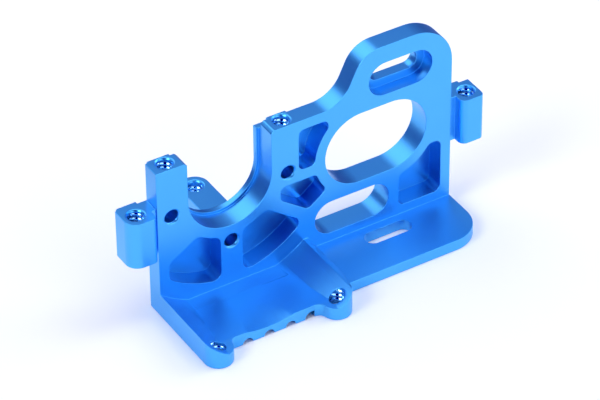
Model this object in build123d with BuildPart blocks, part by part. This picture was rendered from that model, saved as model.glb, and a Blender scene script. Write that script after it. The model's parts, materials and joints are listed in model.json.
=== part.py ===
# Motor plate of a small radio controlled car, milled from one block of aluminium.
# An upright wall carries the bearing seat and the motor, and a thin base stands in front of it.
# Sizes are in millimetres. X runs along the wall, Y to its back and Z up.
# The origin lies on the underside, below the bearing's axis, in the front face of the wall.

import os
from math import cos, radians, sin, sqrt, tan

from build123d import *

# Wall
wall_left = 13.1            # bearing axis to the left edge
wall_right = 41.0           # bearing axis to the right edge
wall_height = 36.4
wall_thickness = 3.3
wall_corner_radius = 7.4
corner_break = 0.6          # chamfer at the rear left corner of the left post and its lug
post_height = 28.0          # top of both posts beside the bearing
crown_left = 24.3           # where the shoulder's slope meets the top edge
shoulder_run = 3.95         # how far the slope leans over its height
shoulder_radius = 5.7
crown_radius = 5.0

# Bearing seat, open upwards, with a lip behind the bearing
axis_height = 20.35
seat_radius = 7.5
seat_depth = 3.8
lip_radius = 7.0
lip_thickness = 1.0
seat_boss_rim = 2.0         # metal round the seat behind the wall
seat_mouth_break = 0.5      # chamfer where the seat opens at the top of the posts

# Raised back of the wall, which stops short of its edges
pad_thickness = 0.85
pad_inset = 1.5

# Cover screw holes round the bearing
cover_hole_radius = 1.15
cover_hole_mouth = 1.4      # countersunk
cover_hole_depth = 3.9
cover_circle_radius = 10.6
cover_tilt = 8.4            # the side holes sit this many degrees below the axis

# Motor mount: a long opening and two screw slots, all run sideways to set the gear mesh
opening_left = 17.35        # bearing axis to the opening
opening_length = 18.9
motor_z = 18.4
opening_height = 13.3
screw_spacing = 25.0
screw_tilt = 21.1           # degrees from upright
upper_slot_length = 11.8
upper_slot_height = 6.1
upper_slot_depth = 2.3      # recess for the screw head
screw_slot_height = 3.1
lower_slot_length = 13.9
lower_slot_height = 6.2

# Weight-saving pockets in the front of the wall
pocket_depth = 3.2
pocket_radius = 1.0
keel_pocket_radius = 1.4
pocket_rim = 1.9            # metal left round the seat, the openings and the right edge
rib = 2.1                   # metal left between two pockets
spine = 4.0                 # metal left below the bearing
left_rim = 1.8
keel_radius = 17.7          # round bottom of the two pockets under the bearing
left_pocket_side = 3.0      # straight left side of the left pocket, up to its lean
left_gable_angle = 32.8
right_gable = 12.9          # height of the right pocket's lean above its inner corner
right_gable_x = 6.9
right_gable_angle = 36.7
rib_pocket_left = 9.1
rib_pocket_x = 14.1         # where the rib pocket has its lowest corner
neck_pocket_left = 12.5
neck_pocket_right = 17.9
neck_pocket_top = 26.1
neck_pocket_bottom = 18.4
foot_pocket_top = 13.9
foot_pocket_gap = 1.7       # metal left between the foot pocket and the flange
foot_pocket_radius = 1.2

# Base under the bearing, hollowed for the gear
base_right = 14.0
base_front = 12.75
base_height = 4.4
scoop_radius = 20.65
base_floor = 2.3            # height of the hollow's floor at the front edge
dip_radius = 18.65
dip_x = -0.8
strip_floor = 1.35          # level strip beside the wall
strip_width = 3.2
strip_step = 0.15           # from the strip up to the floor, which rises to the front

# Screw ears on the base
ear_radius = 2.45
left_ear_y = -13.5
right_ear_x = 11.05
right_ear_y = -13.3
left_ear_blend = 1.1
right_ear_blend = 1.5
ear_lean = 10               # how far the right ear's side leans in, in degrees

# Grooves under the front of the base
groove_radius = 0.9
groove_pitch = 3.9
groove_start = -4.8
groove_count = 3
wide_groove_radius = 1.25
wide_groove_x = 6.9
groove_length = 7.8

# Flange under the motor side
flange_thickness = 2.0
flange_front = 10.75
flange_corner_radius = 5.5
flange_slot_length = 8.6
flange_slot_width = 2.9
flange_slot_x = 27.3
flange_slot_y = -2.95

# Tapped holes
tap_radius = 1.25           # core of the thread
tap_mouth = 1.55            # countersunk mouth
tap_depth = 6.5
post_hole_x = 10.45
post_hole_y = 1.95
post_boss_back = 3.7
post_boss_side = 1.75       # screw to the boss's side; the left boss runs on to the wall's edge
post_boss_height = 9.0

# Screw lugs at both ends of the wall
lug_bottom = 12.5
lug_top = 21.1
lug_front = 1.65
lug_boss_back = 3.8
lug_hole_offset = 3.3       # wall's end to the screw
lug_hole_y = 0.8
left_lug_outer = 2.3        # screw to the outer face
left_lug_inner = 2.5        # screw to the inner face
right_lug_outer = 2.0
right_lug_inner = 2.25
left_lug_boss = 1.7         # screw to the right end of the boss behind the lug
right_lug_boss = 0.3
left_lug_round = 2.2
right_lug_round = 1.2
lug_edge_round = 0.8        # the front corner on a lug's right
web_front = 0.4             # the web that joins a lug to the wall starts this far back

# Tab behind the bearing
tab_radius = 2.45
tab_reach = 11.35           # wall's front face to the screw
tab_top = 13.2
tab_thickness = 3.5

back_face = wall_thickness + pad_thickness
seat_back = seat_depth + lip_thickness
motor_x = opening_left + opening_length / 2
screw_dx = screw_spacing / 2 * sin(radians(screw_tilt))
screw_dz = screw_spacing / 2 * cos(radians(screw_tilt))
upper_screw = (motor_x + screw_dx, motor_z + screw_dz)
lower_screw = (motor_x - screw_dx, motor_z - screw_dz)
left_ear_x = ear_radius - wall_left
base_reach = ear_radius - left_ear_y
left_hole_x = -wall_left - lug_hole_offset
right_hole_x = wall_right + lug_hole_offset


def corner(sketch, x, y):
    """The corner of a sketch that lies nearest to a point."""
    return sketch.vertices().sort_by_distance((x, y, 0))[0]


# Outlines seen from the front, drawn flat with the height upwards
with BuildSketch() as wall_face:
    with BuildLine():
        Polyline(
            (-wall_left, 0),
            (wall_right, 0),
            (wall_right, wall_height),
            (crown_left, wall_height),
            (crown_left - shoulder_run, post_height),
            (-wall_left, post_height),
            close=True,
        )
    make_face()
    fillet(corner(wall_face, wall_right, wall_height), wall_corner_radius)
    fillet(corner(wall_face, crown_left, wall_height), crown_radius)
    fillet(corner(wall_face, crown_left - shoulder_run, post_height), shoulder_radius)

with BuildSketch() as pad_face:
    add(wall_face.sketch)
    offset(amount=-pad_inset, mode=Mode.REPLACE)


def notch(radius):
    """Half-round seat on the bearing's axis, open to the top of the posts."""
    with BuildSketch() as shape:
        with Locations((0, axis_height)):
            Circle(radius)
            Rectangle(2 * radius, post_height, align=(Align.CENTER, Align.MIN))
    return shape.sketch


with BuildSketch() as seat_boss:
    add(notch(seat_radius + seat_boss_rim))
    add(pad_face.sketch, mode=Mode.INTERSECT)


def pocket(corners, radius=pocket_radius):
    """A pocket with these corners, less the rims round the seat and the motor opening."""
    with BuildSketch() as shape:
        with BuildLine():
            Polyline(*corners, close=True)
        make_face()
        with Locations((0, axis_height)):
            Circle(seat_radius + pocket_rim, mode=Mode.SUBTRACT)
        with Locations((motor_x, motor_z)):
            SlotOverall(opening_length + 2 * pocket_rim, opening_height + 2 * pocket_rim, mode=Mode.SUBTRACT)
        fillet(shape.vertices(), radius)
    return shape.sketch


def keel_pocket(corners):
    """A pocket whose floor follows the round of the gear under the bearing."""
    with BuildSketch() as shape:
        with BuildLine():
            Polyline(*corners, close=True)
        make_face()
        with Locations((0, axis_height)):
            Circle(keel_radius, mode=Mode.INTERSECT)
            Circle(seat_radius + pocket_rim, mode=Mode.SUBTRACT)
        fillet(shape.vertices(), keel_pocket_radius)
    return shape.sketch


def right_gable_z(x):
    """Height of the leaning top of the pocket right of the spine."""
    return right_gable - (x - right_gable_x) * right_slope


left_slope = tan(radians(left_gable_angle))
right_slope = tan(radians(right_gable_angle))
rib_rise = rib / cos(radians(right_gable_angle))
pocket_left = left_rim - wall_left
left_gable = axis_height - sqrt(keel_radius**2 - pocket_left**2) + left_pocket_side
low_corner_z = right_gable_z(rib_pocket_x) + rib_rise
foot_left = lower_screw[0] + lower_slot_length / 2 + pocket_rim
foot_right = wall_right - pocket_rim
foot_bottom = flange_thickness + foot_pocket_gap

pockets = [
    keel_pocket(
        [
            (pocket_left, 0),
            (-spine / 2, 0),
            (-spine / 2, left_gable - (pocket_left + spine / 2) * left_slope),
            (pocket_left, left_gable),
        ]
    ),
    keel_pocket(
        [
            (spine / 2, 0),
            (keel_radius, 0),
            (keel_radius, right_gable_z(keel_radius)),
            (spine / 2, right_gable_z(spine / 2)),
        ]
    ),
    pocket(
        [
            (rib_pocket_left, neck_pocket_bottom - rib),
            (rib_pocket_left, right_gable_z(rib_pocket_left) + rib_rise),
            (rib_pocket_x, low_corner_z),
            (neck_pocket_right, low_corner_z + (neck_pocket_right - rib_pocket_x) * right_slope),
            (neck_pocket_right, neck_pocket_bottom - rib),
        ]
    ),
    pocket(
        [
            (neck_pocket_left, neck_pocket_bottom),
            (neck_pocket_right, neck_pocket_bottom),
            (neck_pocket_right, neck_pocket_top),
            (neck_pocket_left, neck_pocket_top),
        ]
    ),
    pocket(
        [
            (foot_left, foot_bottom),
            (foot_right, foot_bottom),
            (foot_right, foot_pocket_top),
            (foot_left, foot_pocket_top),
        ],
        foot_pocket_radius,
    ),
]

# Plans of the lugs, seen from above
with BuildSketch() as left_lug:
    with Locations((left_hole_x - left_lug_outer, -lug_front)):
        Rectangle(left_lug_outer + left_lug_inner, lug_front + wall_thickness, align=(Align.MIN, Align.MIN))
    fillet(corner(left_lug, left_hole_x - left_lug_outer, -lug_front), left_lug_round)
    fillet(corner(left_lug, left_hole_x + left_lug_inner, -lug_front), lug_edge_round)
    with Locations((left_hole_x - left_lug_outer, lug_hole_y)):
        Rectangle(left_lug_outer + left_lug_boss, lug_boss_back - lug_hole_y, align=(Align.MIN, Align.MIN))
    chamfer(corner(left_lug, left_hole_x - left_lug_outer, lug_boss_back), corner_break)
    with Locations((left_hole_x, web_front)):
        Rectangle(lug_hole_offset, wall_thickness - web_front, align=(Align.MIN, Align.MIN))

with BuildSketch() as right_lug:
    with Locations((right_hole_x - right_lug_inner, -lug_front)):
        Rectangle(right_lug_outer + right_lug_inner, lug_front + wall_thickness, align=(Align.MIN, Align.MIN))
    fillet(corner(right_lug, right_hole_x - right_lug_inner, -lug_front), right_lug_round)
    fillet(corner(right_lug, right_hole_x + right_lug_outer, -lug_front), lug_edge_round)
    with Locations((right_hole_x - right_lug_inner, lug_hole_y)):
        Rectangle(right_lug_inner + right_lug_boss, lug_boss_back - lug_hole_y, align=(Align.MIN, Align.MIN))
    with Locations((right_hole_x, web_front)):
        Rectangle(lug_hole_offset, wall_thickness - web_front, align=(Align.MAX, Align.MIN))

# Plan of the base with its two screw ears
lean = radians(ear_lean)
with BuildSketch() as base_plan:
    with BuildLine():
        Polyline(
            (-wall_left, 0),
            (base_right, 0),
            (base_right, -flange_front),
            (right_ear_x + ear_radius * cos(lean), right_ear_y - ear_radius * sin(lean)),
            (right_ear_x, right_ear_y),
            (right_ear_x, -base_front),
            (left_ear_x, -base_front),
            (left_ear_x, left_ear_y),
            (-wall_left, left_ear_y),
            close=True,
        )
    make_face()
    with Locations((left_ear_x, left_ear_y), (right_ear_x, right_ear_y)):
        Circle(ear_radius)
    fillet(corner(base_plan, left_ear_x + ear_radius, -base_front), left_ear_blend)
    fillet(corner(base_plan, right_ear_x - ear_radius, -base_front), right_ear_blend)

# Room for the gear, cut out of the base: a level strip beside the wall, then a floor that rises
with BuildPart() as gear_hollow:
    with BuildSketch(Plane.XZ):
        with Locations((0, axis_height)):
            Circle(scoop_radius)
    extrude(amount=base_reach)
    with BuildSketch(Plane.YZ):
        with BuildLine():
            Polyline(
                (0, strip_floor),
                (-strip_width, strip_floor),
                (-strip_width, strip_floor + strip_step),
                (-base_front, base_floor),
                (-base_reach, base_floor),
                (-base_reach, axis_height),
                (0, axis_height),
                close=True,
            )
        make_face()
    extrude(amount=scoop_radius, both=True, mode=Mode.INTERSECT)
    with BuildSketch(Plane.XZ.offset(strip_width)):
        with Locations((dip_x, axis_height)):
            Circle(dip_radius)
    extrude(amount=base_reach - strip_width)

with BuildPart() as motor_plate:
    # Wall, its raised back and the boss round the bearing
    with BuildSketch(Plane.XZ):
        add(wall_face.sketch)
    extrude(amount=-wall_thickness)
    for outline, back in ((pad_face, back_face), (seat_boss, seat_back)):
        with BuildSketch(Plane.XZ):
            add(outline.sketch)
        extrude(amount=-back)
    with BuildSketch(Plane.XY.offset(post_height)) as post_bosses:
        with Locations((-wall_left, 0)):
            Rectangle(wall_left - post_hole_x + post_boss_side, post_boss_back, align=(Align.MIN, Align.MIN))
        chamfer(corner(post_bosses, -wall_left, post_boss_back), corner_break)
        with Locations((post_hole_x, 0)):
            Rectangle(2 * post_boss_side, post_boss_back, align=(Align.CENTER, Align.MIN))
    extrude(amount=-post_boss_height)

    # Base and flange, then the room for the gear
    with BuildSketch():
        add(base_plan.sketch)
    extrude(amount=base_height)
    with BuildSketch() as flange:
        with Locations((base_right, 0)):
            Rectangle(wall_right - base_right, flange_front, align=(Align.MIN, Align.MAX))
        fillet(corner(flange, wall_right, -flange_front), flange_corner_radius)
    extrude(amount=flange_thickness)

    add(gear_hollow.part, mode=Mode.SUBTRACT)

    # Lugs at both ends and the tab behind the bearing
    for plan in (left_lug, right_lug):
        with BuildSketch(Plane.XY.offset(lug_bottom)):
            add(plan.sketch)
        extrude(amount=lug_top - lug_bottom)
    with BuildSketch(Plane.XY.offset(tab_top)):
        with Locations((0, tab_reach)):
            Circle(tab_radius)
        Rectangle(2 * tab_radius, tab_reach, align=(Align.CENTER, Align.MIN))
    extrude(amount=-tab_thickness)

    # Bearing seat and the smaller bore through its lip
    for radius, back in ((seat_radius, seat_depth), (lip_radius, seat_back)):
        with BuildSketch(Plane.XZ):
            add(notch(radius))
        extrude(amount=-back, mode=Mode.SUBTRACT)
    across = motor_plate.edges().filter_by(Axis.Y)
    for side in (-1, 1):
        chamfer(across.sort_by_distance((side * seat_radius, 0, post_height))[0], seat_mouth_break)

    # Motor opening and the two screw slots
    with BuildSketch(Plane.XZ):
        with Locations((motor_x, motor_z)):
            SlotOverall(opening_length, opening_height)
        with Locations(lower_screw):
            SlotOverall(lower_slot_length, lower_slot_height)
        with Locations(upper_screw):
            SlotOverall(upper_slot_length - upper_slot_height + screw_slot_height, screw_slot_height)
    extrude(amount=-back_face, mode=Mode.SUBTRACT)
    with BuildSketch(Plane.XZ):
        with Locations(upper_screw):
            SlotOverall(upper_slot_length, upper_slot_height)
    extrude(amount=-upper_slot_depth, mode=Mode.SUBTRACT)

    # Pockets
    with BuildSketch(Plane.XZ):
        for shape in pockets:
            add(shape)
    extrude(amount=-pocket_depth, mode=Mode.SUBTRACT)

    # Cover screw holes round the bearing, countersunk at the front
    with Locations(Plane.XZ):
        with Locations((0, axis_height)):
            for angle in (-cover_tilt, -90, cover_tilt - 180):
                with PolarLocations(cover_circle_radius, 1, start_angle=angle):
                    CounterSinkHole(cover_hole_radius, cover_hole_mouth, depth=cover_hole_depth)

    # Tapped holes, at the size of the thread's core
    with Locations(*[(side * post_hole_x, post_hole_y, post_height) for side in (-1, 1)]):
        CounterSinkHole(tap_radius, tap_mouth, depth=tap_depth)
    for x in (left_hole_x, right_hole_x):
        with Locations((x, lug_hole_y, lug_top)):
            CounterSinkHole(tap_radius, tap_mouth, depth=lug_top - lug_bottom)
    with Locations((0, tab_reach, tab_top)):
        CounterSinkHole(tap_radius, tap_mouth, depth=tab_thickness)
    for x, y in ((left_ear_x, left_ear_y), (right_ear_x, right_ear_y)):
        with Locations((x, y, base_height)):
            Hole(tap_radius, depth=base_height)

    # Grooves under the front edge and the slot in the flange
    with BuildSketch(Plane.XZ.offset(base_front)):
        with Locations(*[(groove_start + n * groove_pitch, 0) for n in range(groove_count)]):
            Circle(groove_radius)
        with Locations((wide_groove_x, 0)):
            Circle(wide_groove_radius)
    extrude(amount=-groove_length, mode=Mode.SUBTRACT)
    with BuildSketch(Plane.XY.offset(flange_thickness)):
        with Locations((flange_slot_x, flange_slot_y)):
            SlotOverall(flange_slot_length, flange_slot_width)
    extrude(amount=-flange_thickness, mode=Mode.SUBTRACT)

motor_plate.part.label = "motor_plate"
os.makedirs("parts", exist_ok=True)
export_step(motor_plate.part, "parts/motor_plate.step")
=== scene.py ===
"""Looks of a motor plate for a small radio controlled car, milled from aluminium and anodised blue.

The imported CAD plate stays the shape. Here its sharp edges are broken, its tapped holes get
their threads, its surface gets the anodised finish, and a pale studio is set round it.
"""

import json
from math import cos, pi, radians, sin

import bmesh
import bpy
from mathutils import Euler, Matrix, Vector
from mathutils.bvhtree import BVHTree


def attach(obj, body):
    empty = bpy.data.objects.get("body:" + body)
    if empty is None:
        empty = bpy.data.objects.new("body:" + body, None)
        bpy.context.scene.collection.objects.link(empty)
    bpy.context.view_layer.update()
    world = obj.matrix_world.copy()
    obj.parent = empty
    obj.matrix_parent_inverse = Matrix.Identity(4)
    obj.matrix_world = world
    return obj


bl_info = {
    "name": "Milled motor plate",
    "version": (1, 0, 0),
    "blender": (4, 5, 0),
    "location": "3D View > Sidebar > Motor plate",
    "description": "Finishes an anodised motor plate and sets a studio round it",
    "category": "Object",
}

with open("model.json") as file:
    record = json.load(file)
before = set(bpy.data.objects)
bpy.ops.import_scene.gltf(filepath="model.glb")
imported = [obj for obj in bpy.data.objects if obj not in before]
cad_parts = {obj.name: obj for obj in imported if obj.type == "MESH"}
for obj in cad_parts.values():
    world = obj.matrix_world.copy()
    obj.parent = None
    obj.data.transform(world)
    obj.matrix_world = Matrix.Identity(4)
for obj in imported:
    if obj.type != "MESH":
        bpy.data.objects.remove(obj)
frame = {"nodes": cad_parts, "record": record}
plate = frame["nodes"]["motor_plate"]
mm = 0.001

# Tapped holes of the record: name, and the height of the thread's lowest turn in millimetres
tapped_holes = {
    "left_post_screw": 22.0,
    "right_post_screw": 22.0,
    "left_lug_screw": 12.9,
    "right_lug_screw": 12.9,
    "rear_tab_screw": 10.1,
    "left_ear_screw": 0.4,
    "right_ear_screw": 0.4,
}

# Lamps of the studio: direction from the plate, half-angle in degrees, and brightness added to
# the room's own. The two with a minus sign are black cloths.
lamps = (
    ((0, 0, 1), 12, 2.5),  # overhead: the turns of the threads, and the paper round the plate
    ((0.41, -0.15, 0.90), 9, 4.0),  # small and high: the same
    ((0.52, -0.64, 0.56), 20, -0.2),  # cloth, front right: darkens the flange and the wall's foot
    ((0.28, -0.88, 0.38), 22, 1.7),  # low front: the front of the base's floor
    ((0.88, -0.15, 0.45), 20, 2.6),  # right: the paper
    ((-0.78, -0.14, 0.60), 12, 7.5),  # left: bright spots in the tapped mouths
    ((-0.20, 0.70, 0.69), 25, 1.2),  # back: bright bands on the crown, the seat and the openings
    ((-0.41, -0.67, 0.61), 16, -0.6),  # cloth behind the camera: darkens the pockets
)
lamp_edge = 5  # degrees over which a lamp fades, each way from its rim

# Tones of the room by the sine of the height: nothing below the paper, white at the horizon,
# then dim and cool, with a paler zone that the plate's flat tops reflect
room_tones = (
    (-0.11, "000000"),
    (-0.09, "F6F6F6"),
    (0.07, "F6F6F6"),
    (0.13, "6F7390"),
    (0.45, "7A84AE"),
    (0.62, "A8B0DC"),
    (0.85, "9095B0"),
)

# The grey cards: their profile as distance from their centre and height, the angles that they
# span in degrees from straight behind the plate, and how far right their centre is
card_profile = ((0.06, 0.0005), (0.3, 0.0005), (0.33, 0.02), (0.34, 0.16))
card_angles = range(26, 71, 4)
card_centre = 0.013

camera_place = (-0.22119, -0.38418, 0.36254)
camera_turn = (52.109, 0.424, -31.650)


def linear(hex_colour):
    """An sRGB hex value such as 1C6FE0 as linear red, green and blue."""
    parts = [int(hex_colour[i : i + 2], 16) / 255 for i in (0, 2, 4)]
    return [p / 12.92 if p <= 0.04045 else ((p + 0.055) / 1.055) ** 2.4 for p in parts]


def colour_property(name, description, hex_colour):
    return bpy.props.FloatVectorProperty(
        name=name,
        description=description,
        default=linear(hex_colour),
        subtype="COLOR",
        size=3,
        min=0,
        max=1,
    )


def length_property(name, description, default):
    return bpy.props.FloatProperty(
        name=name, description=description, default=default, min=0, unit="LENGTH"
    )


def share_property(name, description, default):
    return bpy.props.FloatProperty(
        name=name, description=description, default=default, min=0, max=1, subtype="FACTOR"
    )


def add_node(tree, kind, links=(), inputs=None, **settings):
    """A node of this kind with these settings. Inputs gives the values of sockets by name or
    number; links are (input, output socket) pairs."""
    node = tree.nodes.new(kind)
    for key, value in settings.items():
        setattr(node, key, value)
    for socket, value in (inputs or {}).items():
        node.inputs[socket].default_value = value
    for socket, source in links:
        tree.links.new(source, node.inputs[socket])
    return node


def new_material(name):
    """An empty material and its node tree."""
    material = bpy.data.materials.new(name)
    material.use_nodes = True
    material.node_tree.nodes.clear()
    return material, material.node_tree


def noise(tree, size, detail=2.0, **inputs):
    """The factor of a noise whose patches are about this size."""
    place = add_node(tree, "ShaderNodeTexCoord").outputs["Object"]
    return add_node(
        tree,
        "ShaderNodeTexNoise",
        [("Vector", place)],
        inputs={"Scale": 1 / size, "Detail": detail, **inputs},
    ).outputs["Fac"]


def blend(tree, factor, first, second):
    """A mix of two linear colours by a factor."""
    mix = add_node(tree, "ShaderNodeMix", [("Factor", factor)], data_type="RGBA")
    mix.inputs["A"].default_value = (*first, 1)
    mix.inputs["B"].default_value = (*second, 1)
    return mix.outputs["Result"]


def add_surface(tree, links=(), **inputs):
    """The shader of a material, joined to its output."""
    shader = add_node(tree, "ShaderNodeBsdfPrincipled", links, inputs=inputs)
    add_node(tree, "ShaderNodeOutputMaterial", [("Surface", shader.outputs["BSDF"])])


# Finishes


def anodised_aluminium(settings):
    """Bead blasted aluminium, anodised and dyed blue: a metal shine that the dye tints,
    a satin grain from the blasting, and a thin clear oxide film over it."""
    material, tree = new_material("blue_anodised_aluminium")
    # The dye takes a little unevenly, in clouds about 9 mm across
    dye = blend(tree, noise(tree, 9 * mm, Roughness=0.5), settings.dye, settings.thin_dye_and_painted_highlight)
    # Blasting grain: real beads leave 0.1 mm dimples, drawn here at 0.25 mm so that they show
    grain = noise(tree, 0.25 * mm, 3.0, Roughness=0.6)
    dimples = add_node(
        tree,
        "ShaderNodeBump",
        [("Height", grain)],
        inputs={"Strength": 0.02, "Distance": 0.02 * mm},
    )
    # The grain also scatters the shine a little more in some places than in others
    shine = add_node(
        tree,
        "ShaderNodeMapRange",
        [("Value", grain)],
        inputs={
            "From Min": 0.3,
            "From Max": 0.7,
            "To Min": settings.roughness - 0.02,
            "To Max": settings.roughness + 0.02,
        },
    )
    # The blast falls straight on the base, so its floor is more matt than the upright wall
    place = add_node(tree, "ShaderNodeTexCoord").outputs["Object"]
    height = add_node(tree, "ShaderNodeSeparateXYZ", [("Vector", place)]).outputs["Z"]
    matt = add_node(
        tree,
        "ShaderNodeMapRange",
        [("Value", height)],
        inputs={
            "From Min": 3.5 * mm,
            "From Max": 6 * mm,
            "To Min": settings.floor_roughness - settings.roughness,
            "To Max": 0.0,
        },
    )
    roughness = add_node(
        tree,
        "ShaderNodeMath",
        [(0, shine.outputs["Result"]), (1, matt.outputs["Result"])],
        operation="ADD",
    )
    links = [
        ("Base Color", dye),
        ("Roughness", roughness.outputs["Value"]),
        ("Normal", dimples.outputs["Normal"]),
    ]
    film = {"Coat Weight": settings.film, "Coat Roughness": 0.22, "Coat IOR": 1.6}
    add_surface(tree, links, Metallic=1.0, **film)
    return material


def tapped_aluminium(settings):
    """The same anodised aluminium where the tap has cut it: not blasted, so it is glossier.
    Its two blues are paler than the plate's, and that paleness is painted highlight on the thread."""
    material, tree = new_material("blue_anodised_thread")
    # Tap marks, about 0.3 mm apart, mottling two pale blues that are painted highlight
    dye = blend(tree, noise(tree, 0.3 * mm), settings.cut_blue_and_painted_highlight, settings.thin_dye_and_painted_highlight)
    film = {"Coat Weight": 1.0, "Coat Roughness": 0.08, "Coat IOR": 1.6}
    add_surface(tree, [("Base Color", dye)], Metallic=1.0, Roughness=0.18, **film)
    return material


def studio_paper(settings):
    """Seamless white paper: matt, with faint fibres about 2 mm long."""
    material, tree = new_material("white_paper")
    fibre = [c * 0.99 for c in settings.paper]
    tone = blend(tree, noise(tree, 2 * mm), settings.paper, fibre)
    add_surface(tree, [("Base Color", tone)], Roughness=0.9, **{"Specular IOR Level": 0.2})
    return material


def grey_card(settings):
    """Grey photographic card, matt and even: the plate reflects it as a dark band."""
    material, tree = new_material("grey_card")
    matt = {"Base Color": (*settings.card, 1), "Roughness": 0.95, "Specular IOR Level": 0.1}
    add_surface(tree, **matt)
    return material


def studio_world():
    """A dim cool room with a white band at the horizon, and the lamps and cloths in it."""
    world = bpy.data.worlds.new("studio")
    world.use_nodes = True
    tree = world.node_tree
    tree.nodes.clear()
    way = add_node(tree, "ShaderNodeTexCoord").outputs["Generated"]
    height = add_node(tree, "ShaderNodeSeparateXYZ", [("Vector", way)]).outputs["Z"]
    share = add_node(tree, "ShaderNodeMapRange", [("Value", height)], inputs={"From Min": -1.0})
    tones = add_node(tree, "ShaderNodeValToRGB", [("Fac", share.outputs["Result"])])
    ramp = tones.color_ramp
    while len(ramp.elements) < len(room_tones):
        ramp.elements.new(1.0)
    for stop, (rise, tone) in zip(ramp.elements, room_tones):
        stop.position = (rise + 1) / 2
        stop.color = (*linear(tone), 1)
    light = tones.outputs["Color"]
    for aim, half_angle, brightness in lamps:
        towards = add_node(
            tree,
            "ShaderNodeVectorMath",
            [(0, way)],
            inputs={1: Vector(aim).normalized()},
            operation="DOT_PRODUCT",
        )
        lamp = add_node(
            tree,
            "ShaderNodeMapRange",
            [("Value", towards.outputs["Value"])],
            inputs={
                "From Min": cos(radians(half_angle + lamp_edge)),
                "From Max": cos(radians(half_angle - lamp_edge)),
                "To Max": brightness,
            },
            interpolation_type="SMOOTHSTEP",
        )
        links = [(0, light), (1, lamp.outputs["Result"])]
        light = add_node(tree, "ShaderNodeVectorMath", links, operation="ADD").outputs[0]
    glow = add_node(tree, "ShaderNodeBackground", [("Color", light)], inputs={"Strength": 1.0})
    add_node(tree, "ShaderNodeOutputWorld", [("Surface", glow.outputs["Background"])])
    return world


# Settings


class PlateSettings(bpy.types.PropertyGroup):
    edge_break: length_property("Edge break", "Width of the broken edges", 0.12 * mm)
    roughness: share_property("Roughness", "How satin the blasted wall is", 0.33)
    floor_roughness: share_property("Floor roughness", "How matt the base is", 0.43)
    film: share_property("Oxide film", "How strongly the clear film shines", 0.2)
    dye: colour_property("Dye", "Blue of the blasted surface", "48AEF5")
    thin_dye_and_painted_highlight: colour_property("Thin dye", "Blue where the dye takes less", "50B4F7")


class ThreadSettings(bpy.types.PropertyGroup):
    # An M3 thread has a pitch of 0.5 mm: drawn coarser, so that its turns show
    pitch: length_property("Pitch", "Distance from one turn to the next", 0.8 * mm)
    height: length_property("Height", "How far a crest stands in from the bore", 0.32 * mm)
    # Both blues are paler than the plate's: painted highlight, so that the turns of the thread
    # shine
    cut_blue_and_painted_highlight: colour_property("Cut dye", "Blue of the tapped surface", "63B8FA")
    thin_dye_and_painted_highlight: colour_property("Crest dye", "Pale blue of the crests", "A9E2FF")


class StageSettings(bpy.types.PropertyGroup):
    paper: colour_property("Paper", "Colour of the floor", "FAFAFA")
    card: colour_property("Card", "Colour of the grey cards", "585E8C")
    size: length_property("Paper size", "Side of the square of paper", 1.0)
    lens: bpy.props.FloatProperty(
        name="Lens",
        description="Focal length of the camera in millimetres",
        default=217.0,
        min=1,
    )


# Shapes


def smooth_by_angle(angle):
    """A node group that shades faces smooth and keeps edges sharper than an angle sharp."""
    tree = bpy.data.node_groups.new("smooth_by_angle", "GeometryNodeTree")
    tree.interface.new_socket("Geometry", in_out="INPUT", socket_type="NodeSocketGeometry")
    tree.interface.new_socket("Geometry", in_out="OUTPUT", socket_type="NodeSocketGeometry")
    source = add_node(tree, "NodeGroupInput")
    bare = add_node(
        tree,
        "GeometryNodeRemoveAttribute",
        [("Geometry", source.outputs[0])],
        inputs={"Name": "custom_normal"},
    )
    smooth = add_node(
        tree,
        "GeometryNodeSetShadeSmooth",
        [("Geometry", bare.outputs["Geometry"])],
        domain="FACE",
    )
    turn = add_node(tree, "GeometryNodeInputMeshEdgeAngle")
    sharp = add_node(
        tree,
        "FunctionNodeCompare",
        [("A", turn.outputs["Unsigned Angle"])],
        inputs={"B": angle},
        operation="GREATER_THAN",
    )
    edges = add_node(
        tree,
        "GeometryNodeSetShadeSmooth",
        [("Geometry", smooth.outputs["Geometry"]), ("Selection", sharp.outputs["Result"])],
        inputs={"Shade Smooth": False},
        domain="EDGE",
    )
    add_node(tree, "NodeGroupOutput", [(0, edges.outputs["Geometry"])])
    return tree


def add_modifier(piece, name, kind, **settings):
    modifier = piece.modifiers.new(name, kind)
    for key, value in settings.items():
        setattr(modifier, key, value)


def new_piece(name, shape, material, smooth_angle):
    """An object made of a bmesh, which this uses up."""
    mesh = bpy.data.meshes.new(name)
    shape.to_mesh(mesh)
    shape.free()
    piece = bpy.data.objects.new(name, mesh)
    bpy.context.scene.collection.objects.link(piece)
    mesh.materials.append(material)
    mesh.shade_smooth()
    mesh.set_sharp_from_angle(angle=smooth_angle)
    return piece


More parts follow.
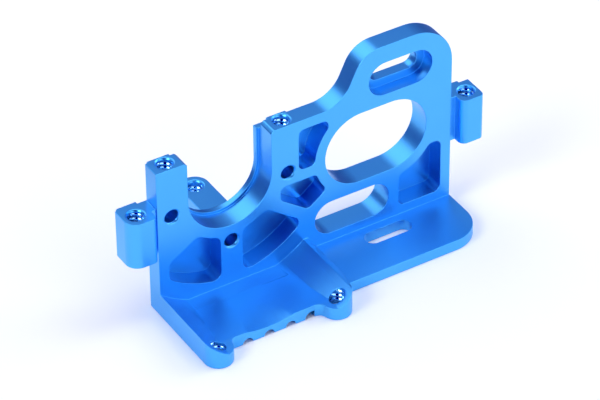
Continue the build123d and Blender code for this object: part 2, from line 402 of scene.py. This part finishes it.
def thread_shape(name, centre, bore, bottom, settings, surface):
    """A helical ridge that stands in from a bore's wall, and ends below the surface round
    the bore's mouth. Its section is a trapezium with a narrow flat on the crest."""
    steps = 36  # rows of points in one turn
    longest = 12 * mm
    sunk, beside = 0.02 * mm, 0.06 * mm  # into the wall, and outside it where the rim is felt
    high, down = Vector((0, 0, 0.1)), Vector((0, 0, -1))
    pitch = settings.pitch
    root = bore + sunk
    half_root, half_crest = 0.42 * pitch, 0.06 * pitch
    shape = bmesh.new()
    row = []
    for step in range(int(longest / pitch * steps) + 1):
        angle = 2 * pi * step / steps
        z = bottom + pitch * step / steps
        out = Vector((cos(angle), sin(angle), 0))
        rim = surface.ray_cast(centre + out * (bore + beside) + high, down)[0]
        if rim is None:
            raise RuntimeError(f"no surface round the mouth of {name}")
        room = rim.z - z - half_root
        if room <= 0:
            row = []
            continue
        # It grows to its full height over half a turn, and fades where it nears the mouth
        crest = bore - settings.height * min(1, step / steps * 2, room / (0.5 * pitch))
        section = ((root, -half_root), (crest, -half_crest), (crest, half_crest), (root, half_root))
        ring = [shape.verts.new(centre + out * r + Vector((0, 0, z + dz))) for r, dz in section]
        if row:
            for a in range(len(section) - 1):
                shape.faces.new((row[a], ring[a], ring[a + 1], row[a + 1]))
        row = ring
    bmesh.ops.recalc_face_normals(shape, faces=shape.faces)
    return shape


def paper_shape(size):
    """A square of paper."""
    shape = bmesh.new()
    bmesh.ops.create_grid(shape, x_segments=2, y_segments=2, size=size / 2)
    return shape


def card_shape(side):
    """A curved card on the floor behind the plate, left (-1) or right (1), that turns up at
    its far edge."""
    shape = bmesh.new()
    rows = [
        [
            shape.verts.new(
                (card_centre + side * reach * sin(radians(a)), reach * cos(radians(a)), rise)
            )
            for a in card_angles
        ]
        for reach, rise in card_profile
    ]
    for low, high in zip(rows, rows[1:]):
        for i in range(len(low) - 1):
            shape.faces.new((low[i], low[i + 1], high[i + 1], high[i]))
    return shape


# Pieces


class MOTORPLATE_OT_finish_plate(bpy.types.Operator):
    """Break the plate's edges and anodise it"""

    bl_idname = "motorplate.finish_plate"
    bl_label = "Finish plate"

    def execute(self, context):
        settings = context.scene.plate_settings
        add_modifier(plate, "join_corners", "WELD", merge_threshold=0.002 * mm)
        add_modifier(
            plate, "join_flats", "DECIMATE", decimate_type="DISSOLVE", angle_limit=radians(0.2)
        )
        # Not clamped, because the shortest edges of the curves would narrow every broken edge.
        # The price is that they cross each other in tight corners, such as at the ears.
        add_modifier(
            plate,
            "edge_break",
            "BEVEL",
            width=settings.edge_break,
            segments=2,
            use_clamp_overlap=False,
            limit_method="ANGLE",
            angle_limit=radians(28),
        )
        add_modifier(plate, "smooth", "NODES", node_group=smooth_by_angle(radians(35)))
        add_modifier(
            plate, "flat_faces_first", "WEIGHTED_NORMAL", keep_sharp=True, weight=100, thresh=0.1
        )
        material = anodised_aluminium(settings)
        for slot in plate.material_slots:
            slot.material = material
        return {"FINISHED"}


class MOTORPLATE_OT_cut_threads(bpy.types.Operator):
    """Put the thread into each tapped hole"""

    bl_idname = "motorplate.cut_threads"
    bl_label = "Cut threads"

    def execute(self, context):
        settings = context.scene.thread_settings
        material = tapped_aluminium(settings)
        solid = plate.data
        surface = BVHTree.FromPolygons(
            [v.co for v in solid.vertices], [p.vertices for p in solid.polygons]
        )
        mounts = {mount["name"]: mount for mount in frame["record"]["mounts"]}
        for name, bottom in tapped_holes.items():
            mount = mounts[name]
            centre = Vector((*mount["pos_m"][:2], 0))
            bore = mount["dims"]["r_mm"] * mm
            shape = thread_shape(name, centre, bore, bottom * mm, settings, surface)
            piece = new_piece(name.replace("screw", "thread"), shape, material, radians(80))
            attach(piece, "root")
        return {"FINISHED"}


class MOTORPLATE_OT_set_stage(bpy.types.Operator):
    """Lay the paper, set up the cards and the lamps, and place the camera"""

    bl_idname = "motorplate.set_stage"
    bl_label = "Set stage"

    def execute(self, context):
        settings = context.scene.stage_settings
        scene = context.scene
        scene.view_settings.view_transform = "Standard"

        paper = studio_paper(settings)
        floor = new_piece("paper", paper_shape(settings.size), paper, radians(30))
        floor.location.z = -0.02 * mm

        # Seen only in the metal's reflections
        card = grey_card(settings)
        for name, side in (("card_left", -1), ("card_right", 1)):
            piece = new_piece(name, card_shape(side), card, radians(30))
            piece.visible_camera = False
            piece.visible_diffuse = False
            piece.visible_shadow = False

        scene.world = studio_world()

        lens = bpy.data.cameras.new("camera")
        lens.lens = settings.lens
        lens.sensor_width = 36
        lens.clip_start = 0.01
        camera = bpy.data.objects.new("camera", lens)
        scene.collection.objects.link(camera)
        camera.location = camera_place
        camera.rotation_euler = Euler([radians(a) for a in camera_turn])
        scene.camera = camera
        return {"FINISHED"}


class MOTORPLATE_PT_panel(bpy.types.Panel):
    """The steps and their sizes"""

    bl_idname = "MOTORPLATE_PT_panel"
    bl_label = "Motor plate"
    bl_space_type = "VIEW_3D"
    bl_region_type = "UI"
    bl_category = "Motor plate"

    def draw(self, context):
        for operator, group in (
            (MOTORPLATE_OT_finish_plate, context.scene.plate_settings),
            (MOTORPLATE_OT_cut_threads, context.scene.thread_settings),
            (MOTORPLATE_OT_set_stage, context.scene.stage_settings),
        ):
            box = self.layout.box()
            for name in group.__annotations__:
                box.prop(group, name)
            box.operator(operator.bl_idname)


classes = (
    PlateSettings,
    ThreadSettings,
    StageSettings,
    MOTORPLATE_OT_finish_plate,
    MOTORPLATE_OT_cut_threads,
    MOTORPLATE_OT_set_stage,
    MOTORPLATE_PT_panel,
)


def register():
    for cls in classes:
        bpy.utils.register_class(cls)
    bpy.types.Scene.plate_settings = bpy.props.PointerProperty(type=PlateSettings)
    bpy.types.Scene.thread_settings = bpy.props.PointerProperty(type=ThreadSettings)
    bpy.types.Scene.stage_settings = bpy.props.PointerProperty(type=StageSettings)


def unregister():
    for name in ("plate_settings", "thread_settings", "stage_settings"):
        delattr(bpy.types.Scene, name)
    for cls in reversed(classes):
        bpy.utils.unregister_class(cls)


def main():
    register()
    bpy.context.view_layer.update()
    bpy.ops.motorplate.finish_plate()
    bpy.ops.motorplate.cut_threads()
    bpy.ops.motorplate.set_stage()


if __name__ == "__main__":
    main()
